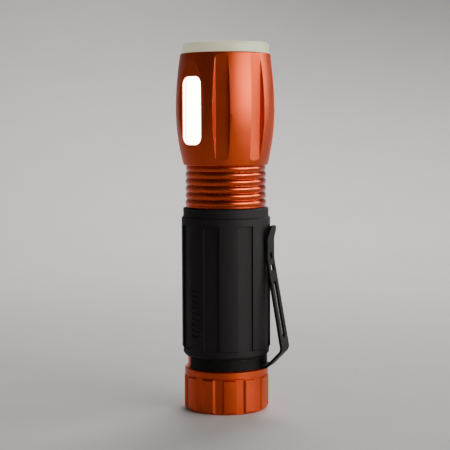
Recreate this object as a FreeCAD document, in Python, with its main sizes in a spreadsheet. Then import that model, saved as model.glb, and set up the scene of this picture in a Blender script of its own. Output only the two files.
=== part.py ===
import FreeCAD, Part
import math
import os

import Sketcher
from FreeCAD import Placement, Rotation, Vector

# A hand flashlight with a side work light, a pocket clip and a magnetic screw-on tail cap.
# Millimetres. +Z runs along the barrel towards the front lens, the tail cap stands on Z = 0,
# and the pocket clip is on +X. Head pieces are drawn with the work light on +X and the button
# on -X, and their placement then turns them about Z by head_turn.

SIZES = {
    # whole light
    "total_length": 150.0,
    "head_turn": -116.6,
    "grip_turn": 0.0,
    "cap_turn": 8.3,
    "fit_gap": 0.05,
    # tail cap
    "cap_radius": 17.45,
    "cap_rim_radius": 17.25,
    "cap_height": 17.6,
    "cap_chamfer": 1.2,
    "cap_groove_height": 14.4,
    "cap_groove_depth": 0.7,
    "cap_groove_half": 0.5,
    "cap_bore_radius": 14.85,
    "cap_seal_radius": 15.5,
    "cap_seal_height": 15.0,
    "cap_floor": 5.6,
    "cap_web": 1.4,
    "cap_flute_count": 12,
    "cap_flute_floor": 16.5,
    "cap_flute_half": 1.5,
    "magnet_radius": 10.2,
    "magnet_height": 3.1,
    "magnet_cover_radius": 10.9,
    "magnet_cover_height": 0.9,
    "magnet_recess_radius": 11.0,
    "tail_plate_radius": 14.0,
    "tail_plate_height": 0.8,
    "tail_plate_boss": 4.0,
    "tail_plate_boss_height": 0.5,
    "tail_ring_inner": 11.6,
    "tail_ring_height": 1.2,
    "tail_ring_notch_half": 1.0,
    "tail_ring_notch_depth": 0.7,
    "tail_spring_base": 9.4,
    "tail_spring_wire": 0.45,
    "tail_spring_tip": 5.0,
    # barrel
    "barrel_tail": 7.8,
    "barrel_bore": 12.5,
    "barrel_front_bore": 13.0,
    "barrel_front_bore_start": 71.0,
    "barrel_front": 92.0,
    "barrel_radius": 15.2,
    "neck_radius": 15.9,
    "neck_top": 22.5,
    "thread_core": 13.9,
    "thread_crest": 14.7,
    "thread_pitch": 1.5,
    "thread_start": 8.9,
    "thread_length": 5.0,
    "thread_crest_half": 0.2,
    "thread_root_half": 0.55,
    "spigot_radius": 14.6,
    "tail_groove_low": 15.3,
    "tail_groove_high": 17.0,
    "groove_radius": 13.9,
    "front_groove_low": 85.0,
    "front_groove_high": 86.0,
    "tail_ring_wire": 0.75,
    "front_ring_wire": 0.38,
    # rubber grip
    "grip_radius": 18.25,
    "grip_band_radius": 17.75,
    "grip_band_top": 26.0,
    "grip_top": 79.6,
    "collar_radius": 17.55,
    "collar_top": 83.3,
    "grip_channel_count": 8,
    "grip_channel_floor": 17.3,
    "grip_channel_half": 3.15,
    "grip_channel_top": 76.4,
    "grip_bar_floor": 17.85,
    "grip_bar_low": 31.5,
    "grip_bar_half": 2.3,
    "grip_bar_height": 1.1,
    "grip_bar_step": 2.3,
    # head
    "neck_valley": 15.95,
    "neck_band": 16.35,
    "ridge_start": 84.0,
    "ridge_foot": 0.3,
    "ridge_pitch": 2.835,
    "ridge_arc": 1.85,
    "ridge_runout": 2.425,
    "bulge_bottom": 100.8,
    "bulge_bottom_radius": 17.35,
    "bulge_height": 122.5,
    "bulge_radius": 20.35,
    "bulge_low_arc": 85.0,
    "bulge_top_arc": 141.0,
    "head_top": 145.8,
    "head_top_radius": 18.45,
    "head_rim_chamfer": 0.35,
    "head_bore": 16.2,
    "head_front_bore": 16.95,
    "head_front_step": 141.5,
    "head_shoulder": 104.0,
    "head_low_bore": 14.1,
    "head_thread_bore": 14.75,
    "head_thread_top": 92.6,
    "flute_start": 98.0,
    "flute_floor": 17.72,
    "flute_half": 2.55,
    "flute_open": 4.55,
    "flute_lean": 1.0,
    "flute_shift": -3.9,
    # front of the head
    "bezel_radius": 17.75,
    "bezel_round": 1.1,
    "bezel_opening": 14.7,
    "bezel_bevel": 1.0,
    "bezel_skirt": 16.9,
    "bezel_skirt_inner": 16.15,
    "bezel_skirt_low": 142.4,
    "lens_radius": 16.0,
    "lens_low": 143.05,
    "lens_high": 145.4,
    "gasket_inner": 14.3,
    "gasket_height": 0.65,
    "reflector_mouth": 14.0,
    "reflector_throat": 3.6,
    "reflector_low": 112.5,
    "reflector_wall": 0.8,
    "reflector_flange": 16.85,
    "reflector_flange_height": 0.8,
    # heat sink, main light and driver
    "sink_rim_radius": 16.1,
    "sink_rim_top": 107.5,
    "sink_boss_radius": 9.0,
    "sink_boss_top": 110.2,
    "sink_skirt_radius": 12.9,
    "sink_skirt_inner": 11.4,
    "sink_low": 74.0,
    "sink_seat_radius": 12.1,
    "sink_seat_top": 76.4,
    "wire_hole_radius": 1.15,
    "wire_circle": 10.3,
    "led_board_radius": 8.0,
    "board_height": 1.6,
    "led_side": 5.0,
    "led_base_height": 1.0,
    "led_dome_radius": 2.3,
    "led_ring_inner": 3.8,
    "led_ring_outer": 5.8,
    "driver_ring_inner": 10.6,
    "driver_ring_height": 0.8,
    "contact_spring_radius": 3.0,
    "contact_spring_wire": 0.35,
    "inductor_radius": 3.2,
    "inductor_height": 3.8,
    "capacitor_radius": 1.7,
    "capacitor_height": 5.2,
    "chip_length": 5.0,
    "chip_width": 4.0,
    "chip_height": 1.4,
    "transistor_length": 2.6,
    "transistor_width": 3.0,
    "transistor_height": 1.2,
    "wire_radius": 0.42,
    "wire_gap": 0.5,
    "wire_pad_reach": 6.9,
    "wire_rise": 2.2,
    # work light
    "work_height": 122.65,
    "work_flat": 18.9,
    "work_window_half": 5.3,
    "work_window_half_height": 13.6,
    "work_window_corner": 3.4,
    "work_pocket_depth": 16.95,
    "work_pocket_half": 6.6,
    "work_pocket_half_height": 14.9,
    "work_flange_half": 6.3,
    "work_flange_half_height": 14.45,
    "work_flange_inner": 16.2,
    "work_lens_face": 18.75,
    "work_lens_round": 0.4,
    "work_lens_play": 0.1,
    "work_board_inner": 14.6,
    "work_board_outer": 15.6,
    "work_board_half": 6.2,
    "work_board_half_height": 14.6,
    "work_cob_half": 4.2,
    "work_cob_half_height": 12.5,
    "work_cob_corner": 2.0,
    "work_cob_height": 0.45,
    "work_dam_wall": 1.2,
    # power button
    "button_height": 117.5,
    "button_radius": 5.55,
    "button_hole": 5.85,
    "button_face": 19.4,
    "button_crown": 46.0,
    "button_round": 0.65,
    "button_rise": 0.25,
    "button_dimple": 1.9,
    "button_dimple_depth": 0.3,
    "button_flange": 6.7,
    "button_flange_height": 0.75,
    "button_seat": 16.8,
    "button_spot": 18.5,
    "button_spot_radius": 7.7,
    "button_seat_radius": 7.3,
    "button_stem": 2.2,
    "button_stem_end": 14.85,
    "retainer_outer": 14.9,
    "retainer_height": 0.9,
    "retainer_hole": 3.0,
    "switch_top": 13.9,
    "switch_side": 6.0,
    "switch_height": 3.0,
    "plunger_radius": 1.6,
    "plunger_depth": 1.0,
    "plunger_bore": 1.75,
    "plunger_bore_depth": 1.9,
    "switch_board_half": 4.6,
    "switch_board_half_height": 5.0,
    "switch_board_height": 1.0,
    # battery carrier
    "carrier_low": 13.0,
    "carrier_radius": 12.0,
    "carrier_rear_height": 2.8,
    "carrier_front_height": 2.6,
    "carrier_contact_height": 0.4,
    "carrier_contact_radius": 7.0,
    "carrier_button_radius": 3.5,
    "carrier_button_height": 0.8,
    "spine_inset": 0.15,
    "cell_room_gap": 0.12,
    "cell_mouth_inset": 0.4,
    "cell_radius": 5.15,
    "cell_length": 44.5,
    "cell_nub": 1.0,
    "cell_nub_radius": 1.9,
    "cell_circle": 6.3,
    "cell_spring_length": 2.5,
    "cell_spring_radius": 3.2,
    "cell_spring_wire": 0.3,
    "cell_tab_radius": 3.2,
    "cell_tab_height": 0.4,
    # pocket clip
    "clip_bore": 15.98,
    "clip_sheet": 1.0,
    "clip_ring_low": 18.05,
    "clip_ring_high": 22.4,
    "clip_wrap": 262.0,
    "clip_foot_radius": 19.0,
    "clip_foot_bend": 1.6,
    "clip_elbow_radius": 25.9,
    "clip_elbow_height": 25.3,
    "clip_elbow_bend": 3.6,
    "clip_touch_radius": 19.45,
    "clip_touch_low": 62.7,
    "clip_press_bend": 20.0,
    "clip_touch_high": 70.8,
    "clip_touch_bend": 6.0,
    "clip_tip_radius": 20.8,
    "clip_tip_height": 76.0,
    "clip_foot_half": 5.0,
    "clip_tip_half": 4.4,
    "clip_shoulder_drop": 2.4,
    "clip_crown_rise": 0.6,
    "clip_taper_rise": 4.0,
    "clip_slot_half": 1.7,
    "clip_slot_low": 30.4,
    "clip_slot_high": 53.5,
    "clip_window_half": 1.95,
    "clip_window_height": 2.5,
    "clip_window_low": 57.65,
    "clip_window_step": 4.9,
}

RIDGES = 5
GRIP_BARS = 9
HEAD_FLUTES_A_SIDE = 3
HEAD_POSITION_STEP = 45.0
CELLS = 3
CLIP_WINDOWS = 2
TAIL_SPRING_HALF_TURNS = 7
CONTACT_SPRING_HALF_TURNS = 8
CELL_SPRING_HALF_TURNS = 5
REFLECTOR_STEPS = 12
TOUCH_GAP = 0.02
EDGE_BREAK = 0.2
CLEAR = 1.0
Z_AXIS = Vector(0, 0, 1)

doc = FreeCAD.newDocument("flashlight")
parts = []


class Size:
    """A value from the sheet, or worked out from some, together with the expression that gives it."""

    def __init__(self, text, value):
        self.text = text
        self.value = value

    def __add__(self, other):
        other = as_size(other)
        return Size(f"({self.text} + {other.text})", self.value + other.value)

    def __sub__(self, other):
        other = as_size(other)
        return Size(f"({self.text} - {other.text})", self.value - other.value)

    def __mul__(self, other):
        other = as_size(other)
        return Size(f"({self.text} * {other.text})", self.value * other.value)

    def __neg__(self):
        return Size(f"(0 - {self.text})", -self.value)

    __radd__ = __add__
    __rmul__ = __mul__

    def __rsub__(self, other):
        return as_size(other) - self


def as_size(value):
    return value if isinstance(value, Size) else Size(f"{value:.6f}", float(value))


def make_sheet():
    """The driving dimensions: one aliased cell for each entry of SIZES."""
    sheet = doc.addObject("Spreadsheet::Sheet", "Sizes")
    for row, (name, value) in enumerate(SIZES.items(), start=1):
        sheet.set(f"A{row}", name)
        sheet.set(f"B{row}", str(value))
        sheet.setAlias(f"B{row}", name)
    doc.recompute()
    return sheet


sheet = make_sheet()


def cell(name):
    return Size(f"Sizes.{name}", float(sheet.get(name)))


def read(name):
    """A value from the sheet as a plain number, for shapes made with Part's own functions."""
    return cell(name).value


def bind(item, **properties):
    """Sets properties of a document object, with an expression where the value is a Size."""
    for path, value in properties.items():
        path = path.replace("__", ".")
        if isinstance(value, Size):
            item.setExpression(path, value.text)
        else:
            setattr(item, path, value)
    return item


# ---- sketches -------------------------------------------------------------------------------


def origin_plane(body, role):
    return next(item for item in body.Origin.OriginFeatures if item.Role == role)


def make_sketch(body, name, role, offset=None):
    """A sketch on one of its body's own origin planes, lifted along the plane's normal by offset."""
    sketch = body.newObject("Sketcher::SketchObject", name)
    sketch.AttachmentSupport = [(origin_plane(body, role), "")]
    sketch.MapMode = "FlatFace"
    if offset is not None:
        sketch.setExpression(".AttachmentOffset.Base.z", as_size(offset).text)
    return sketch


def pin_point(sketch, geometry, vertex, point):
    """Fixes one end of a sketch line or arc at a point given by two Sizes."""
    for kind, axis, value in (("DistanceX", -2, point[0]), ("DistanceY", -1, point[1])):
        value = as_size(value)
        if value.text == "0.000000":
            sketch.addConstraint(Sketcher.Constraint("PointOnObject", geometry, vertex, axis))
            continue
        rule = sketch.addConstraint(Sketcher.Constraint(kind, -1, 1, geometry, vertex, value.value))
        sketch.setExpression(f"Constraints[{rule}]", value.text)


def arc_centre(start, end, radius, turn):
    """Centre of the arc from start to end. turn is 1 anticlockwise and -1 clockwise."""
    middle = (start + end) * 0.5
    chord = end - start
    height = math.sqrt(max(radius * radius - chord.Length**2 / 4, 0.0))
    return middle + Vector(-chord.y, chord.x, 0).normalize() * height * turn


def outline(sketch, points, arcs=None):
    """A closed outline through points. arcs gives (radius, turn) for the stretches that are round."""
    arcs = arcs or {}
    points = [(as_size(x), as_size(y)) for x, y in points]
    count = len(points)
    ends = []
    for index in range(count):
        start = Vector(points[index][0].value, points[index][1].value, 0)
        after = points[(index + 1) % count]
        end = Vector(after[0].value, after[1].value, 0)
        if index not in arcs:
            number = sketch.addGeometry(Part.LineSegment(start, end), False)
            ends.append((number, 1, 2))
            continue
        radius, turn = arcs[index]
        radius = as_size(radius)
        centre = arc_centre(start, end, radius.value, turn)
        angles = [math.atan2(p.y - centre.y, p.x - centre.x) for p in (start, end)]
        low, high = angles if turn > 0 else angles[::-1]
        if high < low:
            high += 2 * math.pi
        circle = Part.Circle(centre, Z_AXIS, radius.value)
        number = sketch.addGeometry(Part.ArcOfCircle(circle, low, high), False)
        ends.append((number, 1, 2) if turn > 0 else (number, 2, 1))
        rule = sketch.addConstraint(Sketcher.Constraint("Radius", number, radius.value))
        sketch.setExpression(f"Constraints[{rule}]", radius.text)
    for index in range(count):
        number, first, last = ends[index]
        following = ends[(index + 1) % count]
        sketch.addConstraint(
            Sketcher.Constraint("Coincident", number, last, following[0], following[1])
        )
        pin_point(sketch, number, first, points[index])


def circle_outline(sketch, x, y, radius):
    x, y, radius = as_size(x), as_size(y), as_size(radius)
    shape = Part.Circle(Vector(x.value, y.value, 0), Z_AXIS, radius.value)
    number = sketch.addGeometry(shape, False)
    rule = sketch.addConstraint(Sketcher.Constraint("Radius", number, radius.value))
    sketch.setExpression(f"Constraints[{rule}]", radius.text)
    pin_point(sketch, number, 3, (x, y))


def rectangle(half_width, low, high):
    return [(-half_width, low), (half_width, low), (half_width, high), (-half_width, high)]


def rounded_rectangle(sketch, half_width, half_height, centre_height, corner):
    """An upright rectangle with round corners."""
    low, high = centre_height - half_height, centre_height + half_height
    inner = half_width - corner
    points = [
        (inner, low), (half_width, low + corner), (half_width, high - corner), (inner, high),
        (-inner, high), (-half_width, high - corner), (-half_width, low + corner), (-inner, low),
    ]
    outline(sketch, points, {index: (corner, 1) for index in (0, 2, 4, 6)})


# ---- features -------------------------------------------------------------------------------


def make_body(label, turn=None):
    """A body that becomes one sub-part, turned about Z if turn is given."""
    body = doc.addObject("PartDesign::Body", label)
    body.Label = label
    if turn is not None:
        body.Placement = Placement(Vector(), Rotation(Z_AXIS, 1))
        body.setExpression(".Placement.Rotation.Angle", turn.text)
    parts.append(body)
    return body


def revolve(body, sketch, axis="V_Axis"):
    feature = body.newObject("PartDesign::Revolution", f"{sketch.Name}_turned")
    feature.Profile = sketch
    feature.ReferenceAxis = (sketch, [axis])
    feature.Angle = 360
    return feature


def turned(label, points, arcs=None, turn=None):
    """A body that is one outline in the XZ plane turned about Z."""
    body = make_body(label, turn)
    sketch = make_sketch(body, f"{label}_profile", "XZ_Plane")
    outline(sketch, points, arcs)
    revolve(body, sketch)
    return body


def pad(body, sketch, length, reverse=False):
    feature = body.newObject("PartDesign::Pad", f"{sketch.Name}_pad")
    feature.Profile = sketch
    bind(feature, Length=length)
    feature.Reversed = reverse
    return feature


def cut(body, sketch, length, forward=True):
    """A pocket along the sketch's normal when forward, and against it when not."""
    feature = body.newObject("PartDesign::Pocket", f"{sketch.Name}_cut")
    feature.Profile = sketch
    bind(feature, Length=length)
    feature.Reversed = forward
    return feature


def polar(body, feature, sketch, count, angle=360.0):
    """Repeats a feature about the normal through its sketch's origin."""
    pattern = body.newObject("PartDesign::PolarPattern", f"{feature.Name}_ring")
    pattern.Originals = [feature]
    pattern.Axis = (sketch, ["N_Axis"])
    pattern.Angle = angle
    if isinstance(count, Size):
        pattern.setExpression("Occurrences", count.text)
    else:
        pattern.Occurrences = count
    body.Tip = pattern
    return pattern


def ring_points(inner, outer, low, high):
    return [(inner, low), (outer, low), (outer, high), (inner, high)]


def disc_points(radius, low, high, edge=0.2):
    return [(0, low), (radius - edge, low), (radius, low + edge),
            (radius, high - edge), (radius - edge, high), (0, high)]


def o_ring(label, groove_low, groove_high, wire):
    """A round-section seal, centred in its groove. wire is the radius of the section."""
    ring = doc.addObject("Part::Torus", label)
    bind(
        ring,
        Radius1=cell("groove_radius") + wire + cell("fit_gap"),
        Radius2=wire,
        Placement__Base__z=(groove_low + groove_high) * 0.5,
    )
    ring.Label = label
    parts.append(ring)
    return ring


def coil(low_radius, high_radius, wire, low, high, half_turns):
    """A wire spring between two heights, as half rings that climb and meet without a kink."""
    rise = (high - low - 2 * wire) / half_turns
    swell = (high_radius - low_radius) / half_turns
    sideways = Vector(0, 1, 0)
    start = Vector(low_radius, 0, low + wire)
    ring = Part.makeCircle(wire, start, sideways)
    faces = [Part.Face(Part.Wire(ring))]
    for turn in range(half_turns):
        side = 1 if turn % 2 == 0 else -1
        end = Vector(-side * (low_radius + swell * (turn + 1)), 0, start.z + rise)
        centre = (start + end) * 0.5
        axis = (start - centre).cross(sideways * side)
        faces.append(ring.revolve(centre, axis, 180))
        ring = ring.rotated(centre, axis, 180)
        start = end
    faces.append(Part.Face(Part.Wire(ring)))
    solid = Part.Solid(Part.makeShell(faces))
    return solid if solid.Volume > 0 else solid.reversed()


# ---- tail cap -------------------------------------------------------------------------------


def tail_cap_shell():
    """Screw-on cap: a magnet recess below, a threaded cup above and finger flutes round it."""
    radius, rim, height = cell("cap_radius"), cell("cap_rim_radius"), cell("cap_height")
    groove, half = cell("cap_groove_height"), cell("cap_groove_half")
    chamfer, recess, floor = cell("cap_chamfer"), cell("magnet_recess_radius"), cell("cap_floor")
    web_low = floor - cell("cap_web")
    seal, seal_height = cell("cap_seal_radius"), cell("cap_seal_height")
    bore = cell("cap_bore_radius")
    edge = 0.4
    body = make_body("tail_cap_shell", cell("cap_turn"))
    sketch = make_sketch(body, "cap_profile", "XZ_Plane")
    outline(sketch, [
        (recess, 0), (radius - chamfer, 0), (radius, chamfer), (radius, groove - half),
        (radius - cell("cap_groove_depth"), groove), (rim, groove + half),
        (rim, height - edge), (rim - edge, height), (seal + EDGE_BREAK, height),
        (seal, height - EDGE_BREAK),
        (seal, seal_height), (bore, seal_height - 0.6), (bore, floor), (0, floor),
        (0, web_low), (recess, web_low),
    ])
    revolve(body, sketch)
    flute = make_sketch(body, "cap_flute", "XY_Plane")
    bottom, inner, outer = cell("cap_flute_floor"), cell("cap_flute_half"), 2.0
    outline(flute, [(bottom, -inner), (bottom + outer, -inner - outer),
                    (bottom + outer, inner + outer), (bottom, inner)])
    pocket = cut(body, flute, groove - half * 0.2)
    polar(body, pocket, flute, cell("cap_flute_count"))


def magnet_cover():
    """Thin disc that closes the magnet's recess."""
    turned("magnet_cover", disc_points(
        cell("magnet_cover_radius"), 0, cell("magnet_cover_height")), turn=cell("cap_turn"))


def tail_magnet():
    low = cell("magnet_cover_height") + cell("fit_gap")
    turned("tail_magnet", disc_points(
        cell("magnet_radius"), low, low + cell("magnet_height"), 0.3))


def tail_contact_plate():
    """Brass plate on the cap's floor, with a low centring boss inside the spring."""
    floor, radius = cell("cap_floor"), cell("tail_plate_radius")
    top = floor + cell("tail_plate_height")
    boss, boss_top = cell("tail_plate_boss"), top + cell("tail_plate_boss_height")
    turned("tail_contact_plate", [
        (0, floor), (radius, floor), (radius, top), (boss + EDGE_BREAK, top),
        (boss - EDGE_BREAK, boss_top), (0, boss_top)])


def tail_retaining_ring():
    """Threaded ring over the contact plate, with two spanner notches."""
    low = cell("cap_floor") + cell("tail_plate_height")
    high = low + cell("tail_ring_height")
    outer = cell("cap_bore_radius") - cell("fit_gap")
    body = make_body("tail_retaining_ring", cell("cap_turn"))
    sketch = make_sketch(body, "tail_ring_profile", "XZ_Plane")
    outline(sketch, ring_points(cell("tail_ring_inner"), outer, low, high))
    revolve(body, sketch)
    notch = make_sketch(body, "tail_ring_notch", "XY_Plane", high)
    outline(notch, rectangle(cell("tail_ring_notch_half"), -(outer + CLEAR), outer + CLEAR))
    cut(body, notch, cell("tail_ring_notch_depth"), forward=False)


def tail_spring():
    low = read("cap_floor") + read("tail_plate_height") + TOUCH_GAP
    keep_shape("tail_spring", coil(
        read("tail_spring_base"), read("tail_spring_tip"), read("tail_spring_wire"),
        low, read("carrier_low") - TOUCH_GAP, TAIL_SPRING_HALF_TURNS))


# ---- barrel and grip ------------------------------------------------------------------------


def barrel_tube():
    """Aluminium battery tube: male threads at both ends, seal grooves and the clip's neck."""
    tail, bore, front = cell("barrel_tail"), cell("barrel_bore"), cell("barrel_front")
    core, crest = cell("thread_core"), cell("thread_crest")
    groove = cell("groove_radius")
    low, high = cell("tail_groove_low"), cell("tail_groove_high")
    seat = cell("cap_height") + cell("fit_gap")
    lip = cell("cap_seal_radius") - 0.15
    neck, neck_top = cell("neck_radius"), cell("neck_top")
    radius, spigot, shoulder = cell("barrel_radius"), cell("spigot_radius"), cell("collar_top")
    front_low, front_high = cell("front_groove_low"), cell("front_groove_high")
    front_bore, step = cell("barrel_front_bore"), cell("barrel_front_bore_start")
    body = make_body("barrel_tube")
    sketch = make_sketch(body, "barrel_profile", "XZ_Plane")
    outline(sketch, [
        (bore + 0.3, tail), (core - 0.5, tail), (core, tail + 0.5), (core, low - 0.6),
        (crest, low - 0.5), (crest, low), (groove, low), (groove, high), (lip, high),
        (lip, seat), (neck - EDGE_BREAK, seat), (neck, seat + EDGE_BREAK), (neck, neck_top),
        (radius, neck_top), (radius, shoulder), (spigot, shoulder), (spigot, front_low),
        (groove, front_low), (groove, front_high), (spigot, front_high),
        (spigot, front - 0.6), (spigot - 0.6, front), (front_bore, front),
        (front_bore, step), (bore, step), (bore, tail + 0.3),
    ])
    revolve(body, sketch)
    thread = make_sketch(body, "thread_tooth", "XZ_Plane")
    start, root = cell("thread_start"), core - 0.15
    wide, narrow = cell("thread_root_half"), cell("thread_crest_half")
    outline(thread, [(root, start - wide), (crest, start - narrow),
                     (crest, start + narrow), (root, start + wide)])
    doc.recompute()
    helix = body.newObject("PartDesign::AdditiveHelix", "tail_thread")
    helix.Profile = thread
    helix.ReferenceAxis = (thread, ["V_Axis"])
    helix.Mode = 0
    bind(helix, Pitch=cell("thread_pitch"), Height=cell("thread_length"))


def grip_sleeve():
    """Rubber sleeve: a smooth collar, eight long channels and a plain lower band."""
    inner = cell("barrel_radius") + cell("fit_gap")
    low, band, band_top = cell("neck_top"), cell("grip_band_radius"), cell("grip_band_top")
    radius, top = cell("grip_radius"), cell("grip_top")
    collar, collar_top = cell("collar_radius"), cell("collar_top")
    body = make_body("grip_sleeve", cell("grip_turn"))
    sketch = make_sketch(body, "grip_profile", "XZ_Plane")
    outline(sketch, [
        (inner, low), (band - 0.9, low), (band, low + 1.1), (band, band_top - 0.25),
        (radius, band_top + 0.25), (radius, top - 0.4), (radius - 0.4, top), (collar, top),
        (collar, collar_top - 0.3), (collar - 0.3, collar_top), (inner, collar_top),
    ])
    revolve(body, sketch)
    floor, half = cell("grip_channel_floor"), cell("grip_channel_half")
    channel_low = band_top - 0.25
    channel = make_sketch(body, "grip_channel", "XY_Plane", channel_low)
    outline(channel, [(floor, -half), (floor + 2.0, -half - 0.5),
                      (floor + 2.0, half + 0.5), (floor, half)])
    pocket = cut(body, channel, cell("grip_channel_top") - channel_low)
    polar(body, pocket, channel, cell("grip_channel_count"))
    cut_grip_bars(body)


def cut_grip_bars(body):
    """A ladder of short shallow bars down one land, for the thumb."""
    land = 360.0 / read("grip_channel_count") / 2
    angle = math.radians(270 - land)
    outward = Vector(math.cos(angle), math.sin(angle), 0)
    low, half, height = cell("grip_bar_low"), cell("grip_bar_half"), cell("grip_bar_height")
    bar = body.newObject("Sketcher::SketchObject", "grip_bar")
    bar.AttachmentSupport = [(origin_plane(body, "XZ_Plane"), "")]
    bar.MapMode = "FlatFace"
    turn = math.degrees(angle) + 90
    bar.AttachmentOffset = Placement(
        Vector(outward.x, 0, -outward.y) * read("grip_bar_floor"), Rotation(Vector(0, 1, 0), turn))
    outline(bar, rectangle(half, low, low + height))
    pocket = cut(body, bar, 3.0)
    ladder = body.newObject("PartDesign::LinearPattern", "grip_bars")
    ladder.Originals = [pocket]
    ladder.Direction = (origin_plane(body, "Z_Axis"), [""])
    bind(ladder, Length=cell("grip_bar_step") * (GRIP_BARS - 1))
    ladder.Occurrences = GRIP_BARS
    body.Tip = ladder


# ---- head -----------------------------------------------------------------------------------


def head_outline():
    """Half section of the head: the ridged neck, the barrel-shaped body and the stepped bore."""
    low, valley, band = cell("collar_top") + cell("fit_gap"), cell("neck_valley"), cell("neck_band")
    start, pitch = cell("ridge_start"), cell("ridge_pitch")
    points = [(cell("head_thread_bore"), low), (band - EDGE_BREAK, low), (band, low + EDGE_BREAK)]
    # The lowest ridge runs down into a plain band, with no valley between them.
    arcs = {len(points): (cell("ridge_arc"), 1)}
    points.append((band, start + cell("ridge_foot")))
    for ridge in range(1, RIDGES + 1):
        arcs[len(points)] = (cell("ridge_arc"), 1)
        points.append((valley, start + pitch * ridge))
    last_valley = start + pitch * RIDGES + cell("ridge_runout")
    bottom, top = cell("bulge_bottom"), cell("head_top")
    chamfer = cell("head_rim_chamfer")
    points.append((valley, last_valley))
    points.append((cell("bulge_bottom_radius") - 0.3, bottom - 0.15))
    arcs[len(points)] = (cell("bulge_low_arc"), 1)
    points.append((cell("bulge_bottom_radius"), bottom + 0.2))
    arcs[len(points)] = (cell("bulge_top_arc"), 1)
    points.append((cell("bulge_radius"), cell("bulge_height")))
    points += [
        (cell("head_top_radius"), top - chamfer),
        (cell("head_top_radius") - chamfer, top),
        (cell("head_front_bore"), top),
        (cell("head_front_bore"), cell("head_front_step")),
        (cell("head_bore"), cell("head_front_step")),
        (cell("head_bore"), cell("head_shoulder")),
        (cell("head_low_bore"), cell("head_shoulder")),
        (cell("head_low_bore"), cell("head_thread_top")),
        (cell("head_thread_bore"), cell("head_thread_top")),
    ]
    return points, arcs


def head_shell():
    """Machined head with six flutes, the work light's flat and window, and the button's seat."""
    body = make_body("head_shell", cell("head_turn"))
    sketch = make_sketch(body, "head_profile", "XZ_Plane")
    outline(sketch, *head_outline())
    revolve(body, sketch)
    low = cell("flute_start")
    floor, half, wide = cell("flute_floor"), cell("flute_half"), cell("flute_open")
    deep = floor + 4.0
    corners = [(floor, -half), (deep, -wide), (deep, wide), (floor, half)]
    shift = read("flute_shift") + HEAD_POSITION_STEP
    for name, first in (("flute_left", shift), ("flute_right", shift + 180)):
        # The cutter leans outwards as it climbs, so each flute runs out below the bezel.
        along = Vector(math.cos(math.radians(first)), math.sin(math.radians(first)), 0)
        across = Vector(-along.y, along.x, 0)
        flute = make_sketch(body, name, "XY_Plane")
        flute.AttachmentOffset = Placement(Vector(0, 0, low.value), Rotation(across, 1.0))
        flute.setExpression(".AttachmentOffset.Base.z", low.text)
        flute.setExpression(".AttachmentOffset.Rotation.Angle", cell("flute_lean").text)
        outline(flute, [(a * along.x + b * across.x, a * along.y + b * across.y)
                        for a, b in corners])
        pocket = cut(body, flute, cell("head_top") - low + CLEAR)
        step = HEAD_POSITION_STEP * (HEAD_FLUTES_A_SIDE - 1)
        pattern = polar(body, pocket, flute, HEAD_FLUTES_A_SIDE, step)
        pattern.Axis = (origin_plane(body, "Z_Axis"), [""])
    cut_work_light(body)
    cut_button_seat(body)


def cut_work_light(body):
    """Flat, inner pocket and round-ended window of the work light, on the head's +X side."""
    height = cell("work_height")
    facet = make_sketch(body, "work_facet", "YZ_Plane", cell("work_flat"))
    outline(facet, rectangle(as_size(10.0), cell("head_shoulder") - 3.0, cell("head_top") + 1.0))
    cut(body, facet, 6.0)
    pocket = make_sketch(body, "work_pocket", "YZ_Plane")
    rise = cell("work_pocket_half_height")
    outline(pocket, rectangle(cell("work_pocket_half"), height - rise, height + rise))
    cut(body, pocket, cell("work_pocket_depth"))
    window = make_sketch(body, "work_window_hole", "YZ_Plane")
    rounded_rectangle(window, cell("work_window_half"), cell("work_window_half_height"), height,
                      cell("work_window_corner"))
    cut(body, window, 24.0)


def cut_button_seat(body):
    """Round spot face, hole and inner seat of the power button, on the head's -X side."""
    height = cell("button_height")
    for name, radius, start, length in (
        ("button_spot", cell("button_spot_radius"), cell("button_spot"), 6.0),
        ("button_hole", cell("button_hole"), as_size(10.0), 12.0),
        ("button_inner", cell("button_seat_radius"), as_size(8.0), cell("button_seat") - 8.0),
    ):
        sketch = make_sketch(body, f"{name}_circle", "YZ_Plane", -start)
        circle_outline(sketch, 0, height, radius)
        cut(body, sketch, length, forward=False)


def glow_bezel():
    """Luminous ring that screws into the head's mouth and clamps the lens."""
    radius, rounding = cell("bezel_radius"), cell("bezel_round")
    base, top = cell("head_top") + cell("fit_gap"), cell("total_length")
    opening, bevel = cell("bezel_opening"), cell("bezel_bevel")
    skirt, skirt_low = cell("bezel_skirt"), cell("bezel_skirt_low")
    lip = cell("lens_high") + cell("fit_gap")
    inner = cell("bezel_skirt_inner")
    turned("glow_bezel", [
        (skirt, base), (radius, base), (radius, top - rounding), (radius - rounding, top),
        (opening + bevel, top), (opening, top - bevel), (opening, lip), (inner, lip),
        (inner, skirt_low), (skirt, skirt_low),
    ], {2: (rounding, 1)})


def front_lens():
    turned("front_lens", disc_points(cell("lens_radius"), cell("lens_low"), cell("lens_high"), 0.3))


def lens_gasket():
    low = cell("lens_low") - cell("gasket_height") - cell("fit_gap")
    turned("lens_gasket", ring_points(cell("gasket_inner"), cell("lens_radius"),
                                      low + 0.03, low + cell("gasket_height")))


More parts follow.
